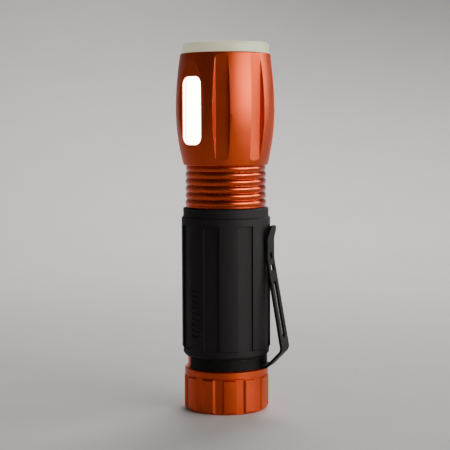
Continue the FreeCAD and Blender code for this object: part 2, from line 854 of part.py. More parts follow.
def reflector():
    """Parabolic cup. Its outer wall is the inner curve moved out by the wall's thickness."""
    mouth, throat = read("reflector_mouth"), read("reflector_throat")
    low, high = read("reflector_low"), read("head_front_step")
    wall, flange = read("reflector_wall"), read("reflector_flange")
    flange_top = high + read("reflector_flange_height")
    focal = (mouth**2 - throat**2) / (4 * (flange_top - low))

    def wall_line(shift, top):
        """Points up the parabola from the throat, evenly spaced in radius."""
        last = math.sqrt(throat**2 + 4 * focal * (top - low))
        radii = [throat + (last - throat) * step / REFLECTOR_STEPS
                 for step in range(REFLECTOR_STEPS + 1)]
        return [Vector(r + shift, 0, low + (r * r - throat**2) / (4 * focal)) for r in radii]

    inside, outside = wall_line(0, flange_top), wall_line(wall, high)
    edges = []
    for line in (inside, outside):
        curve = Part.BSplineCurve()
        curve.interpolate(line)
        edges.append(curve.toShape())
    rim = [inside[-1], Vector(flange, 0, flange_top), Vector(flange, 0, high), outside[-1]]
    edges += [Part.LineSegment(a, b).toShape() for a, b in zip(rim, rim[1:])]
    edges.append(Part.LineSegment(inside[0], outside[0]).toShape())
    wire = Part.Wire(Part.__sortEdges__(edges))
    keep_shape("reflector", Part.Face(wire).revolve(Vector(), Z_AXIS, 360))


def keep_shape(label, shape, turn=0.0):
    """A Part::Feature that holds a shape made with Part's own functions."""
    item = doc.addObject("Part::Feature", label)
    item.Shape = shape
    item.Label = label
    item.Placement = Placement(Vector(), Rotation(Z_AXIS, turn))
    parts.append(item)
    return item


# ---- main light and driver ------------------------------------------------------------------


def heatsink_pill():
    """Aluminium core: a rim on the head's shoulder, a boss for the LED and a long skirt."""
    rim, rim_top, shoulder = cell("sink_rim_radius"), cell("sink_rim_top"), cell("head_shoulder")
    boss, boss_top = cell("sink_boss_radius"), cell("sink_boss_top")
    skirt, inner, low = cell("sink_skirt_radius"), cell("sink_skirt_inner"), cell("sink_low")
    seat, seat_top = cell("sink_seat_radius"), cell("sink_seat_top")
    body = make_body("heatsink_pill", cell("head_turn"))
    sketch = make_sketch(body, "sink_profile", "XZ_Plane")
    outline(sketch, [
        (seat, low), (skirt, low), (skirt, shoulder), (rim, shoulder), (rim, rim_top),
        (boss, rim_top), (boss, boss_top), (0, boss_top), (0, shoulder), (inner, shoulder),
        (inner, seat_top), (seat, seat_top),
    ])
    revolve(body, sketch)
    holes = make_sketch(body, "sink_wire_holes", "XY_Plane", shoulder - 1.0)
    reach, radius = cell("wire_circle"), cell("wire_hole_radius")
    for x, y in ((reach, 0), (-reach, 0), (0, reach)):
        circle_outline(holes, x, y, radius)
    cut(body, holes, rim_top - shoulder + 2.0)


def led_board():
    low = cell("sink_boss_top")
    turned("led_board", disc_points(
        cell("led_board_radius"), low, low + cell("board_height")), turn=cell("head_turn"))


def led_pieces():
    """Square emitter package, its clear dome and the insulating ring that centres the reflector."""
    low = cell("sink_boss_top") + cell("board_height")
    side, height = cell("led_side"), cell("led_base_height")
    package = make_body("led_package", cell("head_turn"))
    sketch = make_sketch(package, "led_square", "XY_Plane", low)
    outline(sketch, rectangle(side * 0.5, side * -0.5, side * 0.5))
    pad(package, sketch, height)
    base, radius = low + height, cell("led_dome_radius")
    turned("led_dome", [(0, base), (radius, base), (0, base + radius)], {1: (radius, 1)})
    turned("led_centring_ring", ring_points(
        cell("led_ring_inner"), cell("led_ring_outer"), low, cell("reflector_low") - 0.05))


def driver_board():
    high = cell("sink_seat_top")
    turned("driver_board", disc_points(cell("sink_seat_radius") - cell("fit_gap"),
                                       high - cell("board_height"), high, 0.1),
           turn=cell("head_turn"))


def driver_retaining_ring():
    high = cell("sink_seat_top") - cell("board_height")
    outer = cell("sink_seat_radius") - cell("fit_gap")
    turned("driver_retaining_ring", ring_points(
        cell("driver_ring_inner"), outer, high - cell("driver_ring_height"), high))


def box_at(name, x, y, z, width, depth, height):
    """A box centred on x and y that stands on z."""
    item = doc.addObject("Part::Box", name)
    bind(item, Length=width, Width=depth, Height=height,
         Placement__Base__x=x - width * 0.5, Placement__Base__y=y - depth * 0.5,
         Placement__Base__z=z)
    return item


def cylinder_at(name, x, y, z, radius, height):
    item = doc.addObject("Part::Cylinder", name)
    bind(item, Radius=radius, Height=height,
         Placement__Base__x=as_size(x), Placement__Base__y=as_size(y), Placement__Base__z=z)
    return item


def driver_components():
    """Inductor, controller chip, two capacitors and a power transistor, as separate solids."""
    top = cell("sink_seat_top")
    capacitor = (cell("capacitor_radius"), cell("capacitor_height"))
    pieces = [
        cylinder_at("inductor", 3.6, -3.2, top, cell("inductor_radius"), cell("inductor_height")),
        cylinder_at("capacitor_front", -5.2, -4.6, top, *capacitor),
        cylinder_at("capacitor_rear", -5.2, 0.2, top, *capacitor),
        box_at("controller_chip", 0.2, 4.4, top,
               cell("chip_length"), cell("chip_width"), cell("chip_height")),
        box_at("transistor", 6.6, 3.2, top,
               cell("transistor_length"), cell("transistor_width"), cell("transistor_height")),
    ]
    group = doc.addObject("Part::Compound", "driver_components")
    group.Links = pieces
    group.Label = "driver_components"
    turn_about_z(group, cell("head_turn"))
    parts.append(group)


def turn_about_z(item, turn):
    item.Placement = Placement(Vector(), Rotation(Z_AXIS, 1))
    item.setExpression(".Placement.Rotation.Angle", turn.text)


def contact_spring():
    high = read("sink_seat_top") - read("board_height") - TOUCH_GAP
    radius = read("contact_spring_radius")
    keep_shape("contact_spring", coil(
        radius, radius, read("contact_spring_wire"), carrier_front().value + TOUCH_GAP, high,
        CONTACT_SPRING_HALF_TURNS))


def bent_wire(points, radius):
    """A round wire along straight runs joined by arcs tangent to both."""
    edges, start = [], points[0]
    for before, corner, after in zip(points, points[1:], points[2:]):
        inward, onward = (before - corner).normalize(), (after - corner).normalize()
        half_turn = (math.pi - inward.getAngle(onward)) / 2
        shorter = min((before - corner).Length, (after - corner).Length)
        setback = 0.45 * shorter
        bend = setback / math.tan(half_turn)
        entry, leave = corner + inward * setback, corner + onward * setback
        bisector = (inward + onward).normalize()
        centre = corner + bisector * math.hypot(setback, bend)
        middle = centre - bisector * bend
        edges.append(Part.LineSegment(start, entry).toShape())
        edges.append(Part.Arc(entry, middle, leave).toShape())
        start = leave
    edges.append(Part.LineSegment(start, points[-1]).toShape())
    path = Part.Wire(edges)
    section = Part.Wire(Part.makeCircle(radius, points[0], points[1] - points[0]))
    return path.makePipeShell([section], True, True)


def driver_wires():
    """Wire pairs from the driver to the main LED, the work light and the switch."""
    low, reach = read("sink_seat_top"), read("wire_circle")
    radius, gap, turn = read("wire_radius"), read("wire_gap"), read("head_turn")
    board_top = read("sink_boss_top") + read("board_height")
    pad_reach, crown = read("wire_pad_reach"), board_top + read("wire_rise")
    work_entry = read("work_board_inner")
    switch_edge = read("button_height") - read("switch_board_half_height")
    routes = {
        "spot_wires": lambda s: [Vector(s, reach, low), Vector(s, reach, crown),
                                 Vector(s, pad_reach, crown), Vector(s, pad_reach, board_top)],
        "work_light_wires": lambda s: [Vector(reach, s, low), Vector(reach, s, board_top),
                                       Vector(work_entry, s, board_top)],
        "switch_wires": lambda s: [Vector(-reach, s, low), Vector(-reach, s, switch_edge)],
    }
    for label, route in routes.items():
        pair = [bent_wire(route(side * gap), radius) for side in (1, -1)]
        keep_shape(label, Part.makeCompound(pair), turn)


# ---- work light -----------------------------------------------------------------------------


def work_light_window():
    """Clear window: a flange behind the head's wall and a round-ended plug through it."""
    height, inner, wall = cell("work_height"), cell("work_flange_inner"), cell("work_pocket_depth")
    body = make_body("work_light_window", cell("head_turn"))
    flange = make_sketch(body, "work_flange", "YZ_Plane", inner)
    rounded_rectangle(flange, cell("work_flange_half"), cell("work_flange_half_height"), height,
                      cell("work_window_corner"))
    pad(body, flange, wall - cell("fit_gap") - inner)
    plug = make_sketch(body, "work_plug", "YZ_Plane", inner)
    play = cell("work_lens_play")
    rounded_rectangle(plug, cell("work_window_half") - play,
                      cell("work_window_half_height") - play, height,
                      cell("work_window_corner") - play)
    pad(body, plug, cell("work_lens_face") - inner)
    doc.recompute()
    solid = body.Tip
    face_edges = [f"Edge{number}" for number, edge in enumerate(solid.Shape.Edges, start=1)
                  if edge.BoundBox.XMin > read("work_lens_face") - 0.01]
    rounded = body.newObject("PartDesign::Fillet", "work_plug_round")
    rounded.Base = (solid, face_edges)
    bind(rounded, Radius=cell("work_lens_round"))


def work_light_inside():
    """Board, light strip and the dam ring that seals the strip against the window."""
    height, turn = cell("work_height"), cell("head_turn")
    inner, outer = cell("work_board_inner"), cell("work_board_outer")
    board = make_body("work_light_board", turn)
    sketch = make_sketch(board, "work_board_outline", "YZ_Plane", inner)
    rise = cell("work_board_half_height")
    outline(sketch, rectangle(cell("work_board_half"), height - rise, height + rise))
    pad(board, sketch, outer - inner)
    strip = make_body("work_light_strip", turn)
    sketch = make_sketch(strip, "work_strip_outline", "YZ_Plane", outer)
    rounded_rectangle(sketch, cell("work_cob_half"), cell("work_cob_half_height"), height,
                      cell("work_cob_corner"))
    pad(strip, sketch, cell("work_cob_height"))
    dam = make_body("work_light_dam", turn)
    sketch = make_sketch(dam, "work_dam_outline", "YZ_Plane", outer)
    half, rise, wall = cell("work_board_half"), cell("work_flange_half_height"), cell("work_dam_wall")
    corner = cell("work_window_corner")
    rounded_rectangle(sketch, half, rise, height, corner)
    rounded_rectangle(sketch, half - wall, rise - wall, height, corner - wall)
    pad(dam, sketch, cell("work_flange_inner") - outer)


# ---- power button ---------------------------------------------------------------------------


def button_turned(label, points, arcs=None):
    """A body turned about the button's own axis. Points are (distance from Z, radius) pairs."""
    body = make_body(label, cell("head_turn"))
    height = cell("button_height")
    sketch = make_sketch(body, f"{label}_profile", "XZ_Plane")
    outline(sketch, [(-as_size(out), height + radius) for out, radius in points], arcs)
    axis = sketch.addGeometry(Part.LineSegment(
        Vector(-30, height.value, 0), Vector(-5, height.value, 0)), True)
    pin_point(sketch, axis, 1, (-30.0, height))
    pin_point(sketch, axis, 2, (-5.0, height))
    revolve(body, sketch, axis="Axis0")
    return body


def button_key():
    """Domed key held behind the head's wall by its flange, with a stem that meets the switch."""
    seat = cell("button_seat") - cell("fit_gap")
    flange_back = seat - cell("button_flange_height")
    face, radius = cell("button_face"), cell("button_radius")
    crown, shoulder = face - 0.05, face - cell("button_rise")
    rounding, dimple = cell("button_round"), cell("button_dimple")
    hollow = crown - cell("button_dimple_depth")
    button_turned("button_key", [
        (cell("button_stem_end"), 0), (cell("button_stem_end"), cell("button_stem")),
        (flange_back, cell("button_stem")), (flange_back, cell("button_flange")),
        (seat, cell("button_flange")), (seat, radius), (shoulder - rounding, radius),
        (shoulder, radius - rounding), (crown, dimple + EDGE_BREAK), (hollow, dimple),
        (hollow, 0),
    ], {6: (rounding, 1), 7: (cell("button_crown"), 1)})


def button_retainer():
    """Plate inside the head that stops the key and locates the switch."""
    outer, height = cell("retainer_outer"), cell("retainer_height")
    edge = cell("button_seat_radius") - 0.1
    button_turned("button_retainer", [
        (outer, cell("retainer_hole")), (outer, edge),
        (outer - height, edge), (outer - height, cell("retainer_hole"))])


def switch_plunger():
    top = cell("button_stem_end") - cell("fit_gap")
    low = cell("switch_top") - cell("plunger_depth")
    button_turned("switch_plunger", [
        (low, 0), (top, 0), (top, cell("plunger_radius")), (low, cell("plunger_radius"))])


def switch_body():
    """Square switch housing with the plunger's bore."""
    top, height, side = cell("switch_top"), cell("switch_height"), cell("switch_side")
    centre = cell("button_height")
    body = make_body("switch_body", cell("head_turn"))
    sketch = make_sketch(body, "switch_square", "YZ_Plane", height - top)
    outline(sketch, rectangle(side * 0.5, centre - side * 0.5, centre + side * 0.5))
    pad(body, sketch, height, reverse=True)
    bore = make_sketch(body, "switch_bore", "YZ_Plane", -top)
    circle_outline(bore, 0, centre, cell("plunger_bore"))
    cut(body, bore, cell("plunger_bore_depth"))


def switch_board():
    outer, rise = cell("switch_top") - cell("switch_height"), cell("switch_board_half_height")
    height = cell("button_height")
    body = make_body("switch_board", cell("head_turn"))
    sketch = make_sketch(body, "switch_board_outline", "YZ_Plane", -outer)
    outline(sketch, rectangle(cell("switch_board_half"), height - rise, height + rise))
    pad(body, sketch, cell("switch_board_height"))


# ---- battery carrier ------------------------------------------------------------------------


def bay_low():
    return cell("carrier_low") + cell("carrier_contact_height") + cell("carrier_rear_height")


def bay_high():
    return bay_low() + cell("cell_length") + cell("cell_spring_length") + cell("cell_tab_height")


def carrier_front():
    return bay_high() + cell("carrier_front_height") + cell("carrier_button_height")


def cell_angle(index):
    return math.radians(90 + index * 360 / CELLS)


def cell_centre(index):
    reach = cell("cell_circle")
    return reach * math.cos(cell_angle(index)), reach * math.sin(cell_angle(index))


def carrier_plates():
    """Moulded end plates, and the contacts on their outer faces."""
    low, radius = cell("carrier_low"), cell("carrier_radius")
    plate_low = low + cell("carrier_contact_height")
    turned("carrier_rear_contact", disc_points(cell("carrier_contact_radius"), low, plate_low, 0.1))
    turned("carrier_rear_plate", disc_points(radius, plate_low, bay_low(), 0.4))
    front = bay_high() + cell("carrier_front_height")
    turned("carrier_front_plate", disc_points(radius, bay_high(), front, 0.4))
    turned("carrier_front_button", disc_points(
        cell("carrier_button_radius"), front, carrier_front(), 0.25))


def carrier_spine():
    """Three-lobed column between the cells, left when the cells' room is cut from a cylinder."""
    low, length = bay_low(), bay_high() - bay_low()
    column = cylinder_at("spine_blank", 0, 0, low,
                         cell("carrier_radius") - cell("spine_inset"), length)
    rooms = []
    for index in range(CELLS):
        x, y = cell_centre(index)
        rooms.append(cylinder_at(f"cell_room_{index + 1}", x, y, low - CLEAR,
                                 cell("cell_radius") + cell("cell_room_gap"),
                                 length + 2 * CLEAR))
        slot = doc.addObject("Part::Box", f"cell_mouth_{index + 1}")
        half = cell("cell_radius") - cell("cell_mouth_inset")
        bind(slot, Length=cell("cell_circle") + CLEAR, Width=half * 2, Height=length + 2 * CLEAR)
        along = Vector(math.cos(cell_angle(index)), math.sin(cell_angle(index)), 0)
        across = Vector(-along.y, along.x, 0)
        slot.Placement = Placement(Vector(), Rotation(Z_AXIS, math.degrees(cell_angle(index))))
        reach = cell("cell_circle")
        bind(slot, Placement__Base__x=reach * along.x - half * across.x,
             Placement__Base__y=reach * along.y - half * across.y, Placement__Base__z=low - CLEAR)
        rooms.append(slot)
    removed = doc.addObject("Part::MultiFuse", "spine_rooms")
    removed.Shapes = rooms
    spine = doc.addObject("Part::Cut", "carrier_spine")
    spine.Base = column
    spine.Tool = removed
    spine.Label = "carrier_spine"
    parts.append(spine)


def battery_cells():
    """Three cells in series, the second one turned end for end, with their springs and tabs."""
    low, high = bay_low(), bay_high()
    spring, tab = cell("cell_spring_length"), cell("cell_tab_height")
    radius, nub, nub_radius = cell("cell_radius"), cell("cell_nub"), cell("cell_nub_radius")
    length = cell("cell_length")
    springs, tabs = [], []
    for index in range(CELLS):
        x, y = cell_centre(index)
        upright = index != 1
        can_low = low + spring if upright else low + tab + nub
        nub_low = can_low + length - nub if upright else low + tab
        can = cylinder_at(f"can_{index + 1}", x, y, can_low, radius, length - nub)
        knob = cylinder_at(f"nub_{index + 1}", x, y, nub_low, nub_radius, nub)
        battery = doc.addObject("Part::Fuse", f"battery_cell_{index + 1}")
        battery.Base = can
        battery.Tool = knob
        battery.Label = f"battery_cell_{index + 1}"
        parts.append(battery)
        spring_low = low if upright else high - spring
        wound = coil(read("cell_spring_radius"), read("cell_spring_radius"),
                     read("cell_spring_wire"), spring_low.value + TOUCH_GAP,
                     (spring_low + spring).value - TOUCH_GAP, CELL_SPRING_HALF_TURNS)
        springs.append(wound.translated(Vector(x.value, y.value, 0)))
        tab_low = high - tab if upright else low
        tabs.append(cylinder_at(f"cell_tab_{index + 1}", x, y, tab_low,
                                cell("cell_tab_radius"), tab))
    keep_shape("carrier_springs", Part.makeCompound(springs))
    group = doc.addObject("Part::Compound", "carrier_tabs")
    group.Links = tabs
    group.Label = "carrier_tabs"
    parts.append(group)


# ---- pocket clip ----------------------------------------------------------------------------


def clip_arm_lines():
    """Corner points of the clip's outer line in the XZ plane, from inside the ring to the tip."""
    root = read("clip_bore") - read("clip_sheet") / 2
    return [
        (root, read("clip_ring_low")),
        (read("clip_foot_radius"), read("clip_ring_low")),
        (read("clip_elbow_radius"), read("clip_elbow_height")),
        (read("clip_touch_radius"), read("clip_touch_low")),
        (read("clip_touch_radius"), read("clip_touch_high")),
        (read("clip_tip_radius"), read("clip_tip_height")),
    ]


def offset_lines(points, distance):
    """The same corners for a line parallel to the first, moved to its left by distance."""
    moved = []
    for index, (x, z) in enumerate(points):
        normals = []
        for first, last in ((index - 1, index), (index, index + 1)):
            if first < 0 or last >= len(points):
                continue
            dx, dz = points[last][0] - points[first][0], points[last][1] - points[first][1]
            size = math.hypot(dx, dz)
            normals.append((-dz / size, dx / size))
        nx, nz = (sum(n[axis] for n in normals) for axis in (0, 1))
        scale = distance * len(normals) / (nx * nx + nz * nz)
        moved.append((x + nx * scale, z + nz * scale))
    return moved


def rounded_path(points, bends):
    """Edges in the XZ plane along points, with an arc of the given radius at each inner corner."""
    corners = [Vector(x, 0, z) for x, z in points]
    edges, start = [], corners[0]
    for before, corner, after, bend in zip(corners, corners[1:], corners[2:], bends):
        inward, onward = (before - corner).normalize(), (after - corner).normalize()
        half = inward.getAngle(onward) / 2
        setback = bend / math.tan(half)
        bisector = (inward + onward).normalize()
        middle = corner + bisector * (bend / math.sin(half) - bend)
        entry, leave = corner + inward * setback, corner + onward * setback
        edges.append(Part.LineSegment(start, entry).toShape())
        edges.append(Part.Arc(entry, middle, leave).toShape())
        start = leave
    edges.append(Part.LineSegment(start, corners[-1]).toShape())
    return edges


def clip_arm():
    """The bent arm at full width: its outer line, its inner line and the two ends."""
    sheet_gauge = read("clip_sheet")
    outer = clip_arm_lines()
    inner = offset_lines(outer, sheet_gauge)
    inward = [read("clip_foot_bend"), read("clip_elbow_bend")]
    outward = [read("clip_press_bend"), read("clip_touch_bend")]
    outer_edges = rounded_path(outer, inward + outward)
    inner_edges = rounded_path(inner, [bend - sheet_gauge for bend in inward]
                               + [bend + sheet_gauge for bend in outward])
    ends = [Part.LineSegment(Vector(a[0], 0, a[1]), Vector(b[0], 0, b[1])).toShape()
            for a, b in ((outer[0], inner[0]), (outer[-1], inner[-1]))]
    wire = Part.Wire(Part.__sortEdges__(outer_edges + inner_edges + ends))
    width = 2 * read("clip_foot_half")
    return Part.Face(wire).extrude(Vector(0, width, 0)).translated(Vector(0, -width / 2, 0))


def prism_yz(points_or_wire, low_x, high_x):
    """A solid from an outline in the YZ plane, between two X positions."""
    if isinstance(points_or_wire, Part.Wire):
        wire = points_or_wire
    else:
        corners = [Vector(low_x, y, z) for y, z in points_or_wire]
        wire = Part.makePolygon(corners + corners[:1])
    return Part.Face(wire).extrude(Vector(high_x - low_x, 0, 0))


def slot_wire(half_width, low, high, at_x):
    """An upright slot with round ends, in the YZ plane."""
    bottom, top = low + half_width, high - half_width
    right_low, right_high = Vector(at_x, half_width, bottom), Vector(at_x, half_width, top)
    left_low, left_high = Vector(at_x, -half_width, bottom), Vector(at_x, -half_width, top)
    return Part.Wire([
        Part.LineSegment(right_low, right_high).toShape(),
        Part.Arc(right_high, Vector(at_x, 0, high), left_high).toShape(),
        Part.LineSegment(left_high, left_low).toShape(),
        Part.Arc(left_low, Vector(at_x, 0, low), right_low).toShape(),
    ])


def clip_front_wire(at_x):
    """Front view of the arm: tapering from the elbow to a round tip."""
    foot, tip = read("clip_foot_half"), read("clip_tip_half")
    low = read("clip_ring_low") - 2 * CLEAR
    elbow = read("clip_elbow_height") + read("clip_taper_rise")
    shoulder = read("clip_tip_height") - read("clip_shoulder_drop")
    top = read("clip_tip_height") + read("clip_crown_rise")
    right = [Vector(at_x, foot, low), Vector(at_x, foot, elbow), Vector(at_x, tip, shoulder)]
    left = [Vector(p.x, -p.y, p.z) for p in reversed(right)]
    lines = [Part.LineSegment(a, b).toShape() for a, b in zip(right, right[1:])]
    lines.append(Part.Arc(right[-1], Vector(at_x, 0, top), left[0]).toShape())
    lines += [Part.LineSegment(a, b).toShape() for a, b in zip(left, left[1:])]
    lines.append(Part.LineSegment(left[-1], right[0]).toShape())
    return Part.Wire(lines)


def clip_ring():
    """Open spring ring that grips the barrel's neck, with its gap opposite the arm."""
    bore, gauge = read("clip_bore"), read("clip_sheet")
    low, high, wrap = read("clip_ring_low"), read("clip_ring_high"), read("clip_wrap")
    corners = [Vector(x, 0, z) for x, z in
               ((bore, low), (bore + gauge, low), (bore + gauge, high), (bore, high))]
    section = Part.Face(Part.makePolygon(corners + corners[:1]))
    section.rotate(Vector(), Z_AXIS, -wrap / 2)
    return section.revolve(Vector(), Z_AXIS, wrap)


def pocket_clip():
    """One piece of bent steel: ring, arm, two small windows and a long slot."""
    near, far = read("clip_bore") - 4 * CLEAR, read("clip_elbow_radius") + 4 * CLEAR
    arm = clip_arm().common(prism_yz(clip_front_wire(near), near, far))
    arm = arm.cut(Part.makeCylinder(read("clip_bore"), read("clip_elbow_height") * 2))
    slot = slot_wire(read("clip_slot_half"), read("clip_slot_low"), read("clip_slot_high"), near)
    solid = arm.fuse(clip_ring()).cut(prism_yz(slot, near, far))
    for step in range(CLIP_WINDOWS):
        low = read("clip_window_low") + step * read("clip_window_step")
        high, half = low + read("clip_window_height"), read("clip_window_half")
        window = prism_yz([(-half, low), (half, low), (half, high), (-half, high)], near, far)
        solid = solid.cut(window)
    keep_shape("pocket_clip", solid.removeSplitter())


# ---- build, check and write -----------------------------------------------------------------


def build():
    for make in (
        tail_cap_shell, magnet_cover, tail_magnet, tail_contact_plate, tail_retaining_ring,
        tail_spring, barrel_tube, grip_sleeve, head_shell, glow_bezel, front_lens, lens_gasket,
        reflector, heatsink_pill, led_board, led_pieces, driver_board, driver_retaining_ring,
        driver_components, contact_spring, driver_wires, work_light_window, work_light_inside,
        button_key, button_retainer, switch_plunger, switch_body, switch_board, carrier_plates,
        carrier_spine, battery_cells, pocket_clip,
    ):
        make()
    o_ring("tail_o_ring", cell("tail_groove_low"), cell("tail_groove_high"),
           cell("tail_ring_wire"))
    o_ring("head_o_ring", cell("front_groove_low"), cell("front_groove_high"),
           cell("front_ring_wire"))
    doc.recompute()


def check():
    """Stops before anything is written if an object failed or a sub-part's shape is not sound."""
    for item in doc.Objects:
        if {"Invalid", "Error"} & set(item.State):
            raise RuntimeError(f"{item.Label} did not compute: {item.State}")
    for item in parts:
        shape = item.Shape
        if shape.isNull() or not shape.isValid() or shape.Volume <= 0 or not shape.Solids:
            raise RuntimeError(f"{item.Label} has no sound solid")


def write():
    os.makedirs("parts", exist_ok=True)
    for item in parts:
        item.Shape.exportStep(f"parts/{item.Label}.step")


build()
check()
write()
print(f"{len(parts)} sub-parts written")
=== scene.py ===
import math

import bmesh
import bpy
from mathutils import Euler, Matrix, Vector


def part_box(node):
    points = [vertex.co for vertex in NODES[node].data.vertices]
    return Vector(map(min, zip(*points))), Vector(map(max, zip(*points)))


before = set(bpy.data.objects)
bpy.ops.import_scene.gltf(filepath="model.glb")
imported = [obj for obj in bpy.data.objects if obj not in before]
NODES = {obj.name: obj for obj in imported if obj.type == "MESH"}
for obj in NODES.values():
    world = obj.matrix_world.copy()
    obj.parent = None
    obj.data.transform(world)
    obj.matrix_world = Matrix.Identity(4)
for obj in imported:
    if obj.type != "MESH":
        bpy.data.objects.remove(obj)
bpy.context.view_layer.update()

MM = 0.001

ORANGE = (0.54, 0.062, 0.012, 1.0)
WORN_ORANGE = (0.95, 0.46, 0.26, 1.0)
NECK_TOP = 0.1008             # the ridged neck below it is left as turned
TURNED_FADE = 0.2 * MM        # half the height over which the finish changes
TURNED_SMOOTHER = 0.17        # how much less rough the turned metal is


def srgb(red, green, blue):
    """A linear colour with alpha, from screen values between 0 and 255."""
    values = []
    for channel in (red, green, blue):
        share = channel / 255
        values.append(share / 12.92 if share <= 0.04045 else ((share + 0.055) / 1.055) ** 2.4)
    return (*values, 1.0)


def shade(color, factor):
    return tuple(min(1.0, c * factor) for c in color[:3]) + (1.0,)


# ---- node trees -----------------------------------------------------------------------------


class Tree:
    """A material's node tree, with short calls for the nodes used here."""

    def __init__(self, name):
        self.material = bpy.data.materials.new(name)
        self.material.use_nodes = True
        self.nodes = self.material.node_tree.nodes
        self.links = self.material.node_tree.links
        self.shader = self.nodes["Principled BSDF"]
        self.output = self.nodes["Material Output"]
        self.place = self.add("ShaderNodeTexCoord").outputs["Object"]

    def add(self, kind, **settings):
        node = self.nodes.new(kind)
        for name, value in settings.items():
            setattr(node, name, value)
        return node

    def feed(self, socket, value):
        """Links an output into a socket, or sets the socket's own value."""
        if isinstance(value, bpy.types.NodeSocket):
            self.links.new(value, socket)
        elif value is not None:
            socket.default_value = value

    def stretch(self, x, y, z, turn=0.0):
        """Object coordinates scaled along the axes, after a turn about Z."""
        node = self.add("ShaderNodeMapping")
        self.feed(node.inputs["Vector"], self.place)
        node.inputs["Scale"].default_value = (x, y, z)
        node.inputs["Rotation"].default_value = (0, 0, turn)
        return node.outputs["Vector"]

    def noise(self, size_mm, detail=3.0, rough=0.5, vector=None, distortion=0.0):
        """Noise whose features are about size_mm across."""
        node = self.add("ShaderNodeTexNoise")
        self.feed(node.inputs["Vector"], vector or self.place)
        node.inputs["Scale"].default_value = 1.0 / (size_mm * MM)
        node.inputs["Detail"].default_value = detail
        node.inputs["Roughness"].default_value = rough
        node.inputs["Distortion"].default_value = distortion
        return node.outputs["Fac"]

    def cells(self, size_mm, feature="F1", vector=None):
        node = self.add("ShaderNodeTexVoronoi", feature=feature)
        self.feed(node.inputs["Vector"], vector or self.place)
        node.inputs["Scale"].default_value = 1.0 / (size_mm * MM)
        return node.outputs["Distance"]

    def span(self, value, from_low, from_high, to_low=0.0, to_high=1.0):
        """Maps a value from one range to another, clamped."""
        node = self.add("ShaderNodeMapRange")
        self.feed(node.inputs["Value"], value)
        for name, number in (("From Min", from_low), ("From Max", from_high),
                             ("To Min", to_low), ("To Max", to_high)):
            self.feed(node.inputs[name], number)
        return node.outputs["Result"]

    def math(self, operation, first, second=None):
        node = self.add("ShaderNodeMath", operation=operation)
        self.feed(node.inputs[0], first)
        if second is not None:
            self.feed(node.inputs[1], second)
        return node.outputs["Value"]

    def mix(self, factor, first, second):
        node = self.add("ShaderNodeMix", data_type="RGBA")
        self.feed(node.inputs["Factor"], factor)
        self.feed(node.inputs["A"], first)
        self.feed(node.inputs["B"], second)
        return node.outputs["Result"]

    def axis(self, name):
        node = self.add("ShaderNodeSeparateXYZ")
        self.feed(node.inputs["Vector"], self.place)
        return node.outputs[name]

    def bump(self, height, depth_mm, strength=1.0, normal=None):
        """Bump from a height between 0 and 1 that stands for depth_mm."""
        node = self.add("ShaderNodeBump")
        node.inputs["Strength"].default_value = strength
        node.inputs["Distance"].default_value = depth_mm * MM
        self.feed(node.inputs["Height"], height)
        self.feed(node.inputs["Normal"], normal)
        return node.outputs["Normal"]

    def edges(self, radius_mm, low=0.02, high=0.25):
        """A mask that is 1 on outer and inner edges, from how far a rounded normal leans."""
        rounded = self.add("ShaderNodeBevel", samples=6)
        rounded.inputs["Radius"].default_value = radius_mm * MM
        flat = self.add("ShaderNodeNewGeometry").outputs["Normal"]
        dot = self.add("ShaderNodeVectorMath", operation="DOT_PRODUCT")
        self.feed(dot.inputs[0], rounded.outputs["Normal"])
        self.feed(dot.inputs[1], flat)
        lean = self.math("SUBTRACT", 1.0, dot.outputs["Value"])
        return self.span(lean, low, high), rounded.outputs["Normal"]

    def set(self, **values):
        for name, value in values.items():
            self.feed(self.shader.inputs[name.replace("_", " ")], value)
        return self


def anodised(name, color, rough=0.43, worn=0.6, turned_below=None):
    """Bead-blasted and dyed aluminium: fine grain, faint turning marks and paler worn edges.

    Below the height turned_below it is left as turned, which is smoother.
    """
    tree = Tree(name)
    cloud = tree.noise(14.0, 3.0, 0.55)
    grain = tree.noise(0.22, 2.0, 0.6)
    turning = tree.noise(0.5, 2.0, 0.5, tree.stretch(0.06, 0.06, 3.2))
    edge, rounded = tree.edges(0.22)
    scuff = tree.noise(2.6, 5.0, 0.7)
    wear = tree.math("MULTIPLY", edge, tree.span(scuff, 0.47, 0.62, 0.0, worn))
    tone = tree.mix(tree.span(cloud, 0.3, 0.7), shade(color, 0.90), shade(color, 1.10))
    tone = tree.mix(tree.span(grain, 0.58, 0.76, 0.0, 0.45), tone, shade(color, 1.6))
    tone = tree.mix(wear, tone, WORN_ORANGE)
    marks = tree.span(turning, 0.3, 0.7, -0.03, 0.03)
    roughness = tree.math("ADD", tree.span(cloud, 0.3, 0.7, rough - 0.03, rough + 0.05), marks)
    if turned_below is not None:
        smoother = tree.span(tree.axis("Z"), turned_below - TURNED_FADE, turned_below + TURNED_FADE,
                             -TURNED_SMOOTHER, 0.0)
        roughness = tree.math("ADD", roughness, smoother)
    normal = tree.bump(grain, 0.010, 0.55, rounded)
    normal = tree.bump(turning, 0.006, 0.5, normal)
    tree.set(Base_Color=tone, Metallic=1.0, Roughness=roughness, Normal=normal)
    tree.shader.inputs["Coat Weight"].default_value = 0.20
    tree.shader.inputs["Coat Roughness"].default_value = 0.38
    return tree.material


